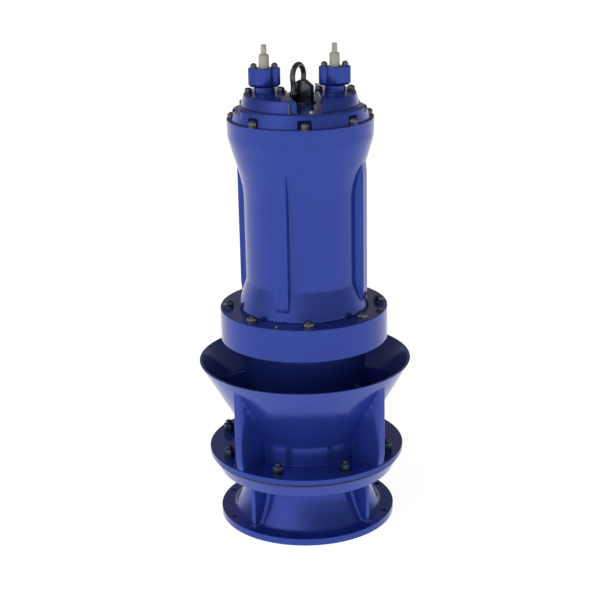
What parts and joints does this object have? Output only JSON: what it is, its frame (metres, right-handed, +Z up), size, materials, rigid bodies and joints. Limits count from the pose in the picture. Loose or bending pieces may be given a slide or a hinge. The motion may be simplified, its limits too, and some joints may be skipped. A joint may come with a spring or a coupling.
{
  "type": "submersible axial flow pump",
  "caption": "Upright submersible axial flow pump: inlet bell on a flange, ribbed cone-shaped bowl, drum, motor housing, lid with cable glands and a lifting shackle.",
  "frame": {"origin": "bottom centre of the inlet flange, on the pump's vertical axis", "axes": "+Z up along the shaft, the two cable glands lie on the X axis, -Y is the front"},
  "size_m": [0.56, 0.56, 1.267],
  "materials": {
    "blue_enamel": "glossy",
    "blue_enamel_in_water_path": "satin",
    "cast_bronze": "satin",
    "stainless_steel": "satin",
    "nitrile_rubber": "matte",
    "cable_sheath": "satin",
    "blackened_steel": "satin"
  },
  "bodies": {
    "pump": {"inlet_flange": "blue_enamel", "inlet_bell": "blue_enamel", "bell_web_1": "blue_enamel", "bell_web_2": "blue_enamel", "bell_web_3": "blue_enamel", "bell_web_4": "blue_enamel", "seat_ring": "blue_enamel", "seat_rubber_ring": "nitrile_rubber", "wear_ring": "cast_bronze", "bowl_neck": "blue_enamel", "bowl_cone": "blue_enamel", "bowl_rib_1": "blue_enamel", "bowl_rib_2": "blue_enamel", "bowl_rib_3": "blue_enamel", "bowl_rib_4": "blue_enamel", "propeller_hub": "cast_bronze", "propeller_nose": "cast_bronze", "propeller_blade_1": "cast_bronze", "propeller_blade_2": "cast_bronze", "propeller_blade_3": "cast_bronze", "propeller_blade_4": "cast_bronze", "pump_shaft": "stainless_steel", "diffuser_core": "blue_enamel_in_water_path", "guide_vane_1": "blue_enamel_in_water_path", "guide_vane_2": "blue_enamel_in_water_path", "guide_vane_3": "blue_enamel_in_water_path", "guide_vane_4": "blue_enamel_in_water_path", "guide_vane_5": "blue_enamel_in_water_path", "guide_vane_6": "blue_enamel_in_water_path", "guide_vane_7": "blue_enamel_in_water_path", "bearing_housing": "blue_enamel", "motor_housing": "blue_enamel", "motor_lid": "blue_enamel", "gland_neck_left": "blue_enamel", "gland_neck_right": "blue_enamel", "gland_collar_left": "blue_enamel", "gland_collar_right": "blue_enamel", "cable_sheath_left": "cable_sheath", "cable_sheath_right": "cable_sheath", "cable_core_left": "cable_sheath", "cable_core_right": "cable_sheath", "lifting_lug": "blackened_steel"},
    "shackle": {"shackle_bow": "blackened_steel", "shackle_pin": "blackened_steel"}
  },
  "joints": [
    {"name": "shackle_swing", "type": "hinge", "parent": "pump", "child": "shackle", "pos_m": [-0.0035, 0, 1.146], "axis": [-0.5299, -0.848, 0], "range_deg": [-24, 24]}
  ]
}
